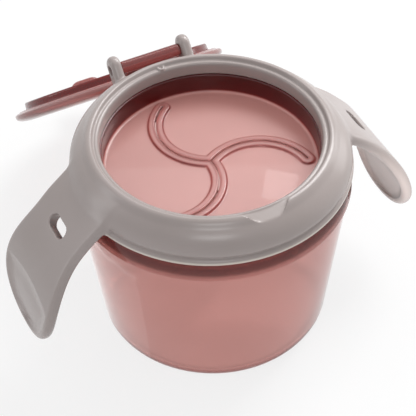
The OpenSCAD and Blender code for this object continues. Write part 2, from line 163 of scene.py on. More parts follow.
def polygon_distance(pts, a, b):
    """Signed distance to a closed outline, negative inside."""
    best = np.full(a.shape, 1e9)
    inside = np.zeros(a.shape, bool)
    for p, q in zip(pts, np.roll(pts, -1, 0)):
        e = q - p
        if e @ e < 1e-12:
            continue
        wa, wb = a - p[0], b - p[1]
        t = np.clip((wa * e[0] + wb * e[1]) / (e @ e), 0, 1)
        best = np.minimum(best, (wa - t * e[0]) ** 2 + (wb - t * e[1]) ** 2)
        if q[1] != p[1]:
            inside ^= ((p[1] > b) != (q[1] > b)) & (a < e[0] * (b - p[1]) / (q[1] - p[1]) + p[0])
    return np.where(inside, -1, 1) * np.sqrt(best)


class Table:
    """A field, or several at once, over two coordinates: worked out on a grid, then looked up."""

    def __init__(self, fn, lo, hi, step):
        self.lo, self.step = np.array(lo, float), step
        n = np.ceil((np.array(hi) - self.lo) / step).astype(int) + 1
        a = self.lo[0] + np.arange(n[0]) * step
        b = self.lo[1] + np.arange(n[1]) * step
        self.v = np.array(fn(*np.meshgrid(a, b, indexing="ij")))

    def __call__(self, a, b):
        v = self.v
        i = np.clip((a - self.lo[0]) / self.step, 0, v.shape[-2] - 1.001)
        j = np.clip((b - self.lo[1]) / self.step, 0, v.shape[-1] - 1.001)
        i0, j0 = i.astype(int), j.astype(int)
        u, w = i - i0, j - j0
        return ((v[..., i0, j0] * (1 - u) + v[..., i0 + 1, j0] * u) * (1 - w)
                + (v[..., i0, j0 + 1] * (1 - u) + v[..., i0 + 1, j0 + 1] * u) * w)


def outline_table(pts, margin, step):
    """The distance to a closed outline, as a table that goes past it by a margin."""
    p = np.array(pts, float)
    return Table(lambda a, b: polygon_distance(p, a, b), p.min(0) - margin, p.max(0) + margin, step)


# ------------------------------------------------------------------ fields: negative inside
def join(a, b, k=0.0):
    """Both shapes together, blended over k where they meet."""
    if k <= 0:
        return np.minimum(a, b)
    h = np.clip(0.5 + 0.5 * (b - a) / k, 0, 1)
    return b * (1 - h) + a * h - k * h * (1 - h)


def cut(a, b, k=0.0):
    """What is left of a when b is taken out of it."""
    return -join(-a, b, k)


def both(a, b, k=0.0):
    """Only what a and b share."""
    return -join(-a, -b, k)


def capped(d, w, r):
    """An outline with distance d, given the depth w across it, with its edges rounded by r."""
    return (np.hypot(np.maximum(d + r, 0), np.maximum(w + r, 0)) - r
            + np.minimum(np.maximum(d, w) + r, 0))


# ------------------------------------------------------------------ meshes
def lattice(*sizes):
    """Every whole-number point of a box."""
    spans = np.meshgrid(*[np.arange(k) for k in sizes], indexing="ij")
    return np.stack(spans, -1).reshape(-1, 3)


def settled(field, p, step, h=0.02):
    """The points moved onto the zero surface of a field, in two rounds of half a step at most."""
    for _ in range(2):
        f = field(*p.T)
        g = np.stack([(field(*(p + h * k).T) - field(*(p - h * k).T)) / (2 * h)
                      for k in np.eye(3)], 1)
        move = f[:, None] * g / np.maximum((g * g).sum(1), 0.2)[:, None]
        size = np.linalg.norm(move, axis=1)
        p = p - move * np.minimum(1, 0.5 * step / np.maximum(size, 1e-9))[:, None]
    return p


def nets(field, lo, hi, step, block=6, reach=1.35):
    """An even mesh over the zero surface of a field: a point in each cell that the surface
    passes through, and a quad round each edge that it crosses."""
    # Blocks of cells whose middle is further than reach blocks from the surface are left out
    lo = np.array(lo, float)
    blocks = np.ceil((np.array(hi, float) - lo) / step / block).astype(int)
    first = lattice(*blocks) * block
    middle = lo + (first + block / 2) * step
    first = first[np.abs(field(*middle.T)) < block * step * reach]

    # The field's values at the corners of the cells that are left
    known = np.zeros(blocks * block + 1, bool)
    for o in lattice(block + 1, block + 1, block + 1):
        known[tuple((first + o).T)] = True
    values = np.full(known.shape, 1e3)
    values[known] = field(*(lo + np.argwhere(known) * step).T)

    # The cells that the surface passes through
    corners = lattice(2, 2, 2)
    cell = (first[:, None] + lattice(block, block, block)[None]).reshape(-1, 3)
    at = np.stack([values[tuple((cell + o).T)] for o in corners], 1)
    inside = (at < 0).sum(1)
    crossed = (inside > 0) & (inside < 8)
    cell, at = cell[crossed], at[crossed]

    # A point in each, at the middle of where its twelve edges are crossed
    total, hits = np.zeros((len(cell), 3)), np.zeros(len(cell))
    for a, b in itertools.combinations(range(8), 2):
        if np.abs(corners[a] - corners[b]).sum() != 1:
            continue
        fa, fb = at[:, a], at[:, b]
        x = (fa < 0) != (fb < 0)
        t = np.where(x, fa / np.where(x, fa - fb, 1), 0)
        total[x] += (corners[a] + t[:, None] * (corners[b] - corners[a]))[x]
        hits[x] += 1
    points = lo + (cell + total / hits[:, None]) * step

    # A quad through the four cells round each crossed edge, facing out
    number = np.full(known.shape, -1, np.int64)
    number[tuple(cell.T)] = np.arange(len(cell))
    axes, quads = np.eye(3, dtype=int), []
    for d in range(3):
        a, b = axes[(d + 1) % 3], axes[(d + 2) % 3]
        f0, f1 = values[tuple(cell.T)], values[tuple((cell + axes[d]).T)]
        x = (f0 < 0) != (f1 < 0)
        ids = np.stack([number[tuple((cell[x] - s).T)] for s in (0 * a, a, a + b, b)], 1)
        ids = np.where((f0[x] < 0)[:, None], ids, ids[:, ::-1])
        quads.append(ids[(ids >= 0).all(1)])
    return settled(field, points, step), np.concatenate(quads)


def add_object(name, data):
    obj = bpy.data.objects.new(name, data)
    bpy.context.scene.collection.objects.link(obj)
    return obj


def make_smooth(mesh):
    mesh.polygons.foreach_set("use_smooth", [True] * len(mesh.polygons))


def add_mesh(name, points, faces, material):
    mesh = bpy.data.meshes.new(name)
    mesh.from_pydata((np.array(points) * MM).tolist(), [], [list(map(int, f)) for f in faces])
    mesh.validate()
    mesh.update()
    make_smooth(mesh)
    mesh.materials.append(material)
    return add_object(name, mesh)


def spin(name, profile, material, n=256):
    """Turns a profile that starts and ends on the axis."""
    points, faces = [(0, 0, profile[0][1]), (0, 0, profile[-1][1])], []
    middle = profile[1:-1]
    m = len(middle)
    for a in range(n):
        c, s = math.cos(2 * math.pi * a / n), math.sin(2 * math.pi * a / n)
        points += [(r * c, r * s, z) for r, z in middle]
        p, q = 2 + a * m, 2 + (a + 1) % n * m
        faces.append((0, q, p))
        faces += [(p + i, q + i, q + i + 1, p + i + 1) for i in range(m - 1)]
        faces.append((p + m - 1, q + m - 1, 1))
    return add_mesh(name, points, faces, material)


def set_tone(mesh, values):
    """Keeps a value from 0 to 1 at each point, by which the plastic's colour changes."""
    shade = np.clip(values, 0, 1).astype(np.float32)
    mesh.attributes.new("tone", "FLOAT", "POINT").data.foreach_set("value", shade)


def places(mesh):
    """The x, y and z of a mesh's points, in mm."""
    co = np.empty(len(mesh.vertices) * 3)
    mesh.vertices.foreach_get("co", co)
    return co.reshape(-1, 3).T * 1000


def piece(name, field, lo, hi, step, material, tone, node, body, place=None):
    """Meshes a field and dresses a node of the frame with it. The tone is read before the points
    are moved to their place."""
    points, quads = nets(field, lo, hi, step)
    obj = add_mesh(name, points if place is None else place(points), quads, material)
    set_tone(obj.data, tone(*points.T))
    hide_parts(node)
    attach(obj, body)


# ------------------------------------------------------------------ materials
# The colour sockets of a Mix node
MIX_A, MIX_B, MIX_RESULT = 6, 7, 2


def lin(r, g, b):
    """A colour as it shows, 0 to 255, turned into light."""
    shares = [v / 255 for v in (r, g, b)]
    return tuple(v / 12.92 if v <= 0.04045 else ((v + 0.055) / 1.055) ** 2.4
                 for v in shares) + (1.0,)


def add_node(tree, kind, **values):
    """A shader node, with a value on each socket that is named."""
    node = tree.nodes.new("ShaderNode" + kind)
    for socket, value in values.items():
        node.inputs[socket.replace("_", " ")].default_value = value
    return node


def add_noise(tree, scale, detail):
    where = add_node(tree, "TexCoord")
    noise = add_node(tree, "TexNoise", Scale=scale, Detail=detail)
    tree.links.new(where.outputs["Object"], noise.inputs["Vector"])
    return noise.outputs["Fac"]


def add_ramp(tree, factor, stops):
    """Colours at places along a factor."""
    ramp = add_node(tree, "ValToRGB")
    ends = ramp.color_ramp.elements[0], ramp.color_ramp.elements[1]
    for end, (place, colour) in zip(ends, (stops[0], stops[-1])):
        end.position, end.color = place, colour
    for place, colour in stops[1:-1]:
        ramp.color_ramp.elements.new(place).color = colour
    tree.links.new(factor, ramp.inputs["Fac"])
    return ramp.outputs["Color"]


def tint_by_tone(tree, colour, tints):
    """The colour, multiplied by the tint that belongs to the tone at each point."""
    tone = add_node(tree, "Attribute")
    tone.attribute_name = "tone"
    mix = add_node(tree, "Mix", Factor=1.0)
    mix.data_type = "RGBA"
    mix.blend_type = "MULTIPLY"
    tree.links.new(colour, mix.inputs[MIX_A])
    tree.links.new(add_ramp(tree, tone.outputs["Fac"], tints), mix.inputs[MIX_B])
    return mix.outputs[MIX_RESULT]


def plastic(name, low, high, grain, tones, grain_scale=900.0, absorb=None, **sockets):
    """A moulded plastic: two near colours clouded together, and a fine grain on its surface.
    tones gives the colour at values of the tone, and absorb the tint per mm of depth."""
    material = bpy.data.materials.new(name)
    material.use_nodes = True
    tree = material.node_tree
    shader = next(n for n in tree.nodes if n.type == "BSDF_PRINCIPLED")
    for socket, value in sockets.items():
        shader.inputs[socket.replace("_", " ")].default_value = value

    clouds = add_ramp(tree, add_noise(tree, 35.0, 3), [(0.3, low), (0.7, high)])
    tints = [(0, (1, 1, 1, 1))] + [(place, tuple(a / b for a, b in zip(shade, low)))
                                   for place, shade in tones]
    tree.links.new(tint_by_tone(tree, clouds, tints), shader.inputs["Base Color"])

    bump = add_node(tree, "Bump", Strength=grain, Distance=0.0001)
    tree.links.new(add_noise(tree, grain_scale, 2), bump.inputs["Height"])
    tree.links.new(bump.outputs["Normal"], shader.inputs["Normal"])

    if absorb:
        per_m = [1000 * v for v in absorb]
        density = 1.1 * max(per_m)
        depth = add_node(tree, "VolumeAbsorption", Density=density,
                         Color=tuple(1 - v / density for v in per_m) + (1.0,))
        output = next(n for n in tree.nodes if n.type == "OUTPUT_MATERIAL")
        tree.links.new(depth.outputs[0], output.inputs["Volume"])
    return material


# The collar's pale tone colour is a painted highlight on the skirt's lip
mat_collar = plastic("collar_satin", lin(160, 149, 145), lin(165, 154, 151), 0.12,
                     [(1, lin(204, 195, 184))], Roughness=0.27, IOR=1.5)
# The bowl's dark tone colour is partly the thick band's deeper tint and partly painted shade below
# the collar
mat_bowl = plastic("bowl_tinted", lin(246, 238, 236), lin(249, 242, 240), 0.03,
                   [(1, lin(102, 29, 30))], 260.0, (0.133, 0.287, 0.307),
                   Roughness=0.09, IOR=1.4, Transmission_Weight=1.0)
# The membrane's tone colours are painted shade: the darker red along the bead and slit edges, the
# darkest on the cup's wall
mat_soft = plastic("membrane_tinted", lin(222, 174, 168), lin(227, 179, 173), 0.04,
                   [(0.5, lin(174, 78, 74)), (1, lin(108, 17, 19))], 260.0,
                   Roughness=0.3, IOR=1.42, Transmission_Weight=0.65,
                   Coat_Weight=0.2, Coat_Roughness=0.02)
mat_lid = plastic("lid_tinted", lin(212, 154, 149), lin(217, 160, 155), 0.03,
                  [(1, lin(142, 34, 32))], 260.0, (0.08, 0.22, 0.23),
                  Roughness=0.14, IOR=1.45, Transmission_Weight=0.6)


# ------------------------------------------------------------------ bowl
draft = math.radians(bowl_draft)
rise = np.array([math.sin(draft), math.cos(draft)])
inward = np.array([-math.cos(draft), math.sin(draft)])
side_top = np.array([wall_r, band_z - band_step])
wall_in = side_top + inward * bowl_wall


def corner_arc(inset, z0, r):
    """The round foot, tangent to the drafted side and to a floor at height z0."""
    low = side_top + inward * (inset + r)
    k = (z0 + r - low[1]) / rise[1]
    return arc([low[0] + rise[0] * k, z0 + r], r, -90, -bowl_draft, 12)


bowl_outside = (
    [(0, 0)] + corner_arc(0, 0, bowl_corner) + [tuple(side_top - 0.6 * rise), tuple(side_top)]
    + curve([wall_r + 0.1, band_z - 0.8 * band_step], [wall_r + 0.3, band_z - 0.7 * band_step],
            [band_r, band_z - 0.5 * band_step], [band_r, band_z], 5)
    + [(band_r - 0.5, band_z + 2), (skirt_in + 1.5, neck_top - 0.3), (skirt_in + 1.2, neck_top),
       (neck_r + 0.2, neck_top), (neck_r, neck_top + 0.2), (neck_r, bowl_h - 0.4),
       (neck_r - 0.1, bowl_h - 0.1), (neck_r - 0.4, bowl_h)])
bowl_inside = (
    [(neck_in + 0.4, bowl_h), (neck_in + 0.1, bowl_h - 0.1), (neck_in, bowl_h - 0.4),
     (neck_in, skirt_z - 1)]
    + curve([neck_in, skirt_z - 2], [neck_in, skirt_z - 4],
            [wall_in[0], band_z + 1], [wall_in[0], wall_in[1] - 0.5], 8)
    + corner_arc(bowl_wall, bowl_floor, bowl_corner - bowl_wall)[::-1] + [(0, bowl_floor)])


def bowl_band_tint_and_shade(x, y, z):
    """Painted shade and a deeper tint: 0 on the thin wall, and 0.8 to 1 up the thick band below the
    collar, darkest next to the collar.
    """
    thick = ease((z - band_z + 0.1) / 0.5) * ease((np.hypot(x, y) - neck_in - 0.5) / 0.5)
    # Painted shade: the band grows darker up towards the collar
    return (0.8 + 0.2 * ease((z - band_z - 2) / 2)) * thick


bowl = spin("bowl_shell", bowl_outside + bowl_inside, mat_bowl)
set_tone(bowl.data, bowl_band_tint_and_shade(*places(bowl.data)))
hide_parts("bowl")
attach(bowl, "bowl")


# ------------------------------------------------------------------ membrane insert and flaps
def turned(x, y, a):
    """Coordinates in axes that are turned by a degrees."""
    c, s = math.cos(math.radians(a)), math.sin(math.radians(a))
    return c * x + s * y, -s * x + c * y


def slit_axes(x, y, k):
    """Coordinates from the centre of slit k's arc, with the disc's centre at -slit_r."""
    u, v = turned(x, y, slit_turn - 120 * k)
    return u - slit_r, v


def arm_distance(x, y):
    """Distance from the middle line of the nearest of the three slits."""
    tip = slit_r * unit(slit_from)
    best = np.full(x.shape, 1e9)
    for k in range(3):
        u, v = slit_axes(x, y, k)
        along = np.degrees(np.arctan2(v, u)) % 360
        on = np.abs(np.hypot(u, v) - slit_r)
        ends = np.minimum(np.hypot(u + slit_r, v), np.hypot(u - tip[0], v - tip[1]))
        best = np.minimum(best, np.where((along >= slit_from) & (along <= slit_to), on, ends))
    return best


def bead_top(x, y):
    """Height of the membrane's upper face, with the bead along the slits."""
    out = arm_distance(x, y) - bead_w / 2
    return disc_top + bead_h * (1 - ease(out / bead_side + 0.5))


cup_r, corner_low, corner_top = insert_r + insert_wall, 2, 1.2
cup = outline_table(
    [(-8, disc_low), (cup_r - corner_low, disc_low)]
    + arc([cup_r - corner_low, disc_low + corner_low], corner_low, -90, 0, 8)
    + [(cup_r, seat_z - membrane_t + seat_gap), (flange_out, seat_z - membrane_t + seat_gap),
       (flange_out, seat_z - seat_gap), (insert_r + 0.3, seat_z - seat_gap),
       (insert_r, seat_z - 0.3)]
    + arc([insert_r - corner_top, disc_top + corner_top], corner_top, 0, -90, 6)
    + [(-8, disc_top)], 3, 0.1)


def insert_field(x, y, z):
    arm = arm_distance(x, y)
    bead = both(both(z - bead_top(x, y), disc_low - z), arm - bead_w / 2 - 0.6)
    return cut(join(cup(np.hypot(x, y), z), bead), arm - slit_w / 2, 0.25)


def membrane_tint_and_shade(x, y, z):
    """0 on the plain disc, 0.1 on a bead, and painted shade: about 0.5 along the bead's edges, less
    beside the slit, and 1 on the cup's wall.
    """
    d = arm_distance(x, y)
    bead = 0.1 * (1 - ease((d - bead_w / 2 + 0.3) / 0.6))
    # Painted shade as dark lines along the bead's outer edges and beside the slit
    outer = 0.44 * np.exp(-((d - bead_w / 2) / 0.42) ** 2)
    inner = 0.28 * np.exp(-((d - 0.8) / 0.35) ** 2)
    # Painted shade on the cup's wall, dark all over
    wall = ease(np.hypot(x, y) - insert_r + 0.9) * ease((z - disc_top - 0.2) / 0.8)
    return np.maximum(bead + outer + inner, wall)


def flap_centre(k):
    """The centre of flap k's arc, which is the middle of its root."""
    return slit_r * unit(slit_turn - 120 * k)


def flap_across(k):
    """The direction from flap k's root into the flap."""
    return unit(slit_turn - 120 * k + 150)


def in_flap(x, y, k):
    """Whether points lie between the root of flap k, its own arc and the next slit."""
    along, across = turned(*slit_axes(x, y, k), slit_from)
    return ((np.hypot(along, across) < slit_r) & (across > 0)
            & (np.hypot(*slit_axes(x, y, k + 1)) > slit_r))


def cut_root(whole, k):
    """Gives the mesh an edge along the root of flap k."""
    (cx, cy), (nx, ny) = flap_centre(k), flap_across(k)
    near = []
    for face in whole.faces:
        middle = face.calc_center_median()
        if math.hypot(middle.x * 1000 - cx, middle.y * 1000 - cy) < slit_r + 0.2:
            near.append(face)
    edges = dict.fromkeys(e for f in near for e in f.edges)
    points = dict.fromkeys(v for f in near for v in f.verts)
    bmesh.ops.bisect_plane(whole, geom=near + list(edges) + list(points), dist=1e-7,
                           plane_co=(cx * MM, cy * MM, 0), plane_no=(nx, ny, 0))


def take_share(whole, mesh, share):
    """Puts flap number share into a mesh, or with -1 what the three flaps leave."""
    own = whole.copy()
    own.faces.ensure_lookup_table()
    x, y, z = np.array([f.calc_center_median() for f in own.faces]).T * 1000
    owner = np.full(len(x), -1)
    for k in range(3):
        owner[in_flap(x, y, k) & (z < disc_top + bead_h + 0.3)] = k
    others = [f for f, k in zip(own.faces, owner) if k != share]
    bmesh.ops.delete(own, geom=others, context="FACES")
    own.to_mesh(mesh)
    own.free()
    make_smooth(mesh)
    set_tone(mesh, membrane_tint_and_shade(*places(mesh)))


# The membrane is meshed whole, then each flap is parted from it along its root
edge = flange_out + 1
insert = add_mesh("insert_skin", *nets(insert_field, (-edge, -edge, disc_low - 1),
                                       (edge, edge, seat_z + 1), 0.38), mat_soft)
whole = bmesh.new()
whole.from_mesh(insert.data)
for k in range(3):
    cut_root(whole, k)
take_share(whole, insert.data, -1)
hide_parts("membrane_insert")
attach(insert, "insert")
for k in range(3):
    mesh = bpy.data.meshes.new(f"flap_skin_{k + 1}")
    mesh.materials.append(mat_soft)
    flap = add_object(mesh.name, mesh)
    take_share(whole, mesh, k)
    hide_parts(f"membrane_flap_{k + 1}")
    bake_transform(flap)
whole.free()


# ------------------------------------------------------------------ collar: ring
# The shoulder is one curve, and the crest takes over its first few steps
crest_steps = 7
shoulder = curve([mouth_r + 3.9, lip_z + 0.1], [mouth_r + 7.3, lip_z - 1.7],
                 [skirt_r - 0.2, lip_z - 5.2], [skirt_r, shoulder_low], 24)[crest_steps:]
lip_and_crest = (
    [(mouth_r, seat_z + seat_gap)]
    + curve([mouth_r, lip_z - 3.4], [mouth_r, lip_z - 1.3],
            [mouth_r + 0.35, lip_low], [mouth_r + 1.3, lip_low], 10)
    + curve([mouth_r + 1.4, lip_low], [mouth_r + 1.6, lip_low],
            [groove_r - 0.25, groove_z], [groove_r, groove_z], 6)
    + curve([groove_r + 0.05, groove_z], [groove_r + 0.5, groove_z],
            [crest_r - 0.6, crest_z], [crest_r, crest_z], 8)
    + curve([crest_r + 0.1, crest_z], [crest_r + 2.0, crest_z - 0.1],
            [shoulder[0][0] - 1.3, shoulder[0][1] + 1.1], shoulder[0], 8)[:-1])
skirt_groove_and_lip = (
    curve([skirt_r, shoulder_low - 0.1], [skirt_r, shoulder_low - 1.0],
          [skirt_r - 0.5, skirt_groove_z + 0.4], [skirt_groove_r, skirt_groove_z], 6)
    + curve([skirt_groove_r, skirt_groove_z - 0.1], [skirt_r - 0.5, skirt_groove_z - 0.3],
            [skirt_lip_r, skirt_lip_z], [skirt_lip_r, skirt_lip_z - 1.0], 6)
    + curve([skirt_lip_r, skirt_z + 0.9], [skirt_lip_r, skirt_z + 0.3],
            [skirt_r + 0.2, skirt_z], [skirt_r - 0.3, skirt_z], 5))
ring = outline_table(
    lip_and_crest + shoulder + skirt_groove_and_lip
    + [(neck_r - 4, skirt_z), (neck_r - 4, seat_z + seat_gap)], 8, 0.1)

# What stays free inside: the bowl's neck, and a coring groove that keeps the lip's wall even
core_in, core_out = mouth_r + 2.3, skirt_in - 2.4
void_low = skirt_z - 60
void = outline_table(
    [(0, void_low), (skirt_in + 0.7, void_low), (skirt_in + 0.7, skirt_z),
     (skirt_in, skirt_z + 0.9), (skirt_in, seat_z + seat_gap), (core_out, seat_z + seat_gap),
     (core_out, lip_z - 4.1), (core_out - 1.7, lip_z - 2.5), (core_in + 0.8, lip_z - 1.8),
     (core_in, lip_z - 1.8), (core_in, seat_z + seat_gap), (0, seat_z + seat_gap)], 8, 0.15)


# ------------------------------------------------------------------ collar: handles
def slope_at(s):
    """How steeply the handle falls, at the distance s along its middle line."""
    bent = ease((s - bend_from) / (handle_l - bend_to))
    return np.radians(root_slope + (tip_slope - root_slope) * bent)


def narrowed(k):
    """The share of its width that the round end keeps, from its start at 0 to its tip at 1."""
    return (1 - k ** paddle_oval) ** (1 / paddle_oval)


def width_at(s):
    widened = ease((s - widen_from) / (handle_l - tip_r - widen_from))
    w = (handle_w + (paddle_w - handle_w) * widened
         + root_flare * (1 - ease((s + root_in) / flare_l)))
    return w * narrowed(np.clip((s - handle_l + tip_r) / tip_r, 0, 1))


# The middle line, walked in small steps from inside the ring to past the tip
line_s = np.linspace(-root_in - 6, handle_l + 6, 700)
fall = slope_at((line_s[1:] + line_s[:-1]) / 2)
line_x = np.concatenate([[0], np.cumsum(np.cos(fall) * np.diff(line_s))])
line_z = np.concatenate([[0], np.cumsum(-np.sin(fall) * np.diff(line_s))])
root_x, root_z = np.interp(0, line_s, line_x), np.interp(0, line_s, line_z)
line_x += skirt_r - 3 - root_x
line_z += lip_z - root_drop - root_z


def near_line(x, z):
    """Distance along the middle line and depth across it, for points of the XZ plane."""
    s, v = np.empty(x.shape), np.empty(x.shape)
    tx, tz = np.cos(slope_at(line_s)), -np.sin(slope_at(line_s))
    for i in range(x.shape[0]):
        dx, dz = x[i][:, None] - line_x, z[i][:, None] - line_z
        j = np.argmin(dx * dx + dz * dz, 1)
        rows = np.arange(len(j))
        s[i] = line_s[j] + dx[rows, j] * tx[j] + dz[rows, j] * tz[j]
        v[i] = -dx[rows, j] * tz[j] + dz[rows, j] * tx[j]
    return s, v


line_table = Table(near_line, (36.0, 14.0), (84.0, 92.0), 0.25)
round_end = handle_l - tip_r + tip_r * np.sin(np.linspace(0, math.pi / 2, 40))[1:]
edge_s = np.concatenate([np.linspace(-root_in - 4, handle_l - tip_r, 60), round_end])
edge_w = width_at(edge_s) / 2
plan = outline_table(list(zip(edge_s, edge_w)) + list(zip(edge_s[::-1], -edge_w[::-1])), 8, 0.2)


def handle_field(x, y, z):
    s, v = line_table(np.abs(x), z)
    v = v + root_bow * (y / (handle_w / 2)) ** 2 * (1 - ease((s + root_in) / bow_l))
    k = np.clip((s - handle_l + tip_r) / (tip_r - dish_rim), 0, 1)
    side = (paddle_w / 2 - dish_rim) * narrowed(k) - np.abs(y)
    in_dish = join(side, s - dish_from - dish_bow * (y / paddle_w) ** 2, 1.5)

    def sunk(depth, ramp):
        k = np.clip(in_dish / ramp, 0, 1)
        return depth * (k * (2 - k))

    top = v - handle_t / 2 + sunk(dish_out, dish_ramp)
    low = -v - handle_t / 2 + sunk(dish_in, dish_ramp_in)
    return capped(plan(s, y), np.maximum(top, low), edge_r)


slot_x, slot_z = np.interp(slot_at, line_s, line_x), np.interp(slot_at, line_s, line_z)
slot_slope = slope_at(slot_at)


def slot_field(x, y, z):
    """The strap's slot, which goes square through the handle."""
    along = (np.abs(x) - slot_x) * np.cos(slot_slope) - (z - slot_z) * np.sin(slot_slope)
    across = np.maximum(np.abs(y) - (slot_l - slot_w) / 2, 0)
    return np.hypot(along, across) - slot_w / 2


# ------------------------------------------------------------------ collar: ears and details
def ear_field(x, y, z):
    """A round bar that leans back out of the shoulder, cut to the two ears."""
    lean = math.radians(ear_lean)
    dy, dz = y - hinge_y, z - hinge_z
    up = dy * math.sin(lean) + dz * math.cos(lean)
    side = dy * math.cos(lean) - dz * math.sin(lean)
    bar = np.hypot(np.maximum(np.maximum(up - ear_reach, -ear_l - up), 0), side) - ear_r
    return capped(bar, np.abs(np.abs(x) - ear_half - ear_t / 2) - ear_t / 2, edge_r)


def gate_field(x, y, z):
    """A low button in the lip's groove, with a dimple in it."""
    r = np.hypot(x, y - groove_r - 0.1)
    button = both(r - gate_r, z - lip_z - gate_stand)
    dimple = both(r - dimple_r, lip_z - dimple_depth - z)
    return both(cut(button, dimple), lip_z - 1.5 - z)


def notch_field(x, y, z):
    """The shallow notch for a thumb in the front of the crest."""
    notch = np.hypot(x, y + mouth_r - notch_in) - notch_r
    slope = math.tan(math.radians(notch_fall))
    floor = lip_z - notch_depth + (groove_r + y) * slope - z
    return both(both(notch, groove_r - np.hypot(x, y)), floor, notch_edge)


def collar_field(x, y, z):
    r = np.hypot(x, y)
    d = join(ring(r, z), handle_field(x, y, z), handle_blend)
    d = join(d, ear_field(x, y, z), ear_blend)
    d = join(d, gate_field(x, y, z), 0.2)
    d = cut(d, void(r, z), 0.2)
    d = cut(d, both(r - mouth_r, seat_z - z))
    d = cut(d, notch_field(x, y, z), notch_edge)
    bore = np.hypot(y - hinge_y, z - hinge_z) - pin_r - pin_clear
    d = cut(d, both(bore, np.abs(x) - ear_half - ear_t - 2), bore_edge)
    return cut(d, slot_field(x, y, z), slot_edge)


def collar_lip_highlight(x, y, z):
    """Painted highlight: 1 on the thin lip round the foot of the skirt, which the pale colour
    lightens, and 0 elsewhere, handles included.
    """
    r = np.hypot(x, y)
    height = ease((skirt_z + 1.7 - z) / 0.6) * ease((z - skirt_z + 0.6) / 0.4)
    return height * ease((r - skirt_r + 1.0) / 0.6) * (1 - ease((r - skirt_r - 0.7) / 0.4))


piece("collar_skin", collar_field, (-80, -54, 18), (80, 62, 92), 0.42, mat_collar, collar_lip_highlight,
      "collar", "collar")


# ------------------------------------------------------------------ lid, worked out closed
lid_outside = (
    [(-5, face_z)]
    + curve([flange_r - 6, face_z - 0.35], [flange_r - 1.6, face_z - 0.7],
            [flange_r - 0.1, rim_top + 0.3], [flange_r, rim_top - 0.8], 14)
    + curve([flange_r, rim_low + 1], [flange_r - 0.1, rim_low + 0.4],
            [crest_r + 0.8, rim_low + 0.2], [crest_r + 0.4, rim_low + 0.05], 8)
    + curve([crest_r + 0.2, rim_low], [crest_r - 0.8, rim_low],
            [groove_r + 0.6, rim_low - 0.4], [groove_r + 0.1, plug_top], 8))
lid_plug = [(groove_r, plug_top), (plug_r, plug_top), (plug_r - 0.2, rim_low - plug_h + 0.5),
            (plug_r - 0.6, rim_low - plug_h), (plug_in + 0.4, rim_low - plug_h),
            (plug_in, rim_low - plug_h + 0.5)]
lid_inside = (
    curve([plug_in, rim_top], [plug_in, face_in - 1.2],
          [plug_in - 1.5, face_in - 0.4], [plug_in - 4, face_in - 0.35], 8)
    + [(-5, face_in)])
lid_ring = outline_table(lid_outside + lid_plug + lid_inside, 6, 0.1)

mid_z = rim_low + rim_t / 2
strap = outline_table(band_outline(curve(
    [crest_r - 0.1, mid_z + 0.25], [flange_r + 1.4, mid_z + 0.15],
    [hinge_y - 3.2, hinge_z + 3.2], [hinge_y - 0.6, hinge_z + 0.4], 24), strap_t), 6, 0.1)
tip_z = rim_low - tab_drop
tab = outline_table(band_outline(curve(
    [-(flange_r - 3), mid_z], [-(flange_r + 4), mid_z + 0.3],
    [-skirt_r, mid_z - 1.5], [-(skirt_r + 0.3), tip_z - 2], 24), strap_t * 0.9), 6, 0.1)


def tab_face(x, z):
    """The tab seen from the front: straight sides and round lower corners."""
    side = np.abs(x) - (tab_w / 2 - tab_round)
    down = tip_z + tab_round - z
    return (np.hypot(np.maximum(side, 0), np.maximum(down, 0)) - tab_round
            + np.minimum(np.maximum(side, down), 0))


def lid_field(x, y, z):
    d = lid_ring(np.hypot(x, y), z)
    d = join(d, capped(strap(y, z), np.abs(x) - strap_w / 2, 0.4), 0.8)
    d = join(d, capped(tab_face(x, z), tab(y, z), 0.5), 0.8)
    axle = np.hypot(y - hinge_y, z - hinge_z)
    d = join(d, capped(axle - barrel_r, np.abs(x) - ear_half + side_play, 0.3), 0.5)
    return join(d, capped(axle - pin_r, np.abs(x) - ear_half - pin_l, 0.3))


def lid_tone(x, y, z):
    """0 on the thin face, and up to 1 where the plastic is thick: the plug, barrel and tab."""
    plug = ease((rim_low + 0.3 - z) / 0.4) * ease((plug_r + 0.6 - np.hypot(x, y)) / 0.4)
    axle = np.hypot(y - hinge_y, z - hinge_z)
    barrel = 0.7 * ease((barrel_r + 0.7 - axle) / 0.6) * (np.abs(x) < ear_half)
    tab_part = 0.5 * ease(-y - flange_r + 0.5)
    return np.maximum(np.maximum(plug, barrel), tab_part)


def open_lid(p):
    """Swings the closed lid's points open about the hinge."""
    a = math.radians(-lid_open)
    y, z = p[:, 1] - hinge_y, p[:, 2] - hinge_z
    return np.stack([p[:, 0], hinge_y + y * math.cos(a) - z * math.sin(a),
                     hinge_z + y * math.sin(a) + z * math.cos(a)], 1)


piece("lid_skin", lid_field, (-47, -56, rim_low - 8), (47, 57, face_z + 1), 0.45, mat_lid,
      lid_tone, "lid", "lid", open_lid)


# ------------------------------------------------------------------ stage, in metres
def aimed(obj, where, look):
    """Puts a lamp at a place, turned to look at a point."""
    obj.location = where
    obj.rotation_euler = (Vector(look) - Vector(where)).to_track_quat("-Z", "Y").to_euler()
    return obj


def add_light(name, where, look, size, power):
    lamp = bpy.data.lights.new(name, "AREA")
    lamp.shape = "RECTANGLE"
    lamp.size, lamp.size_y = size
    lamp.energy = power
    return aimed(add_object(name, lamp), where, look)


def seen_directly(tree):
    """1 where the camera, a mirror or clear plastic looks, and 0 for light on the part."""
    path = add_node(tree, "LightPath")
    total = path.outputs["Is Camera Ray"]
    for kind in ("Is Glossy Ray", "Is Transmission Ray"):
        larger = add_node(tree, "Math")
        larger.operation = "MAXIMUM"
        tree.links.new(total, larger.inputs[0])
        tree.links.new(path.outputs[kind], larger.inputs[1])
        total = larger.outputs[0]
    return total


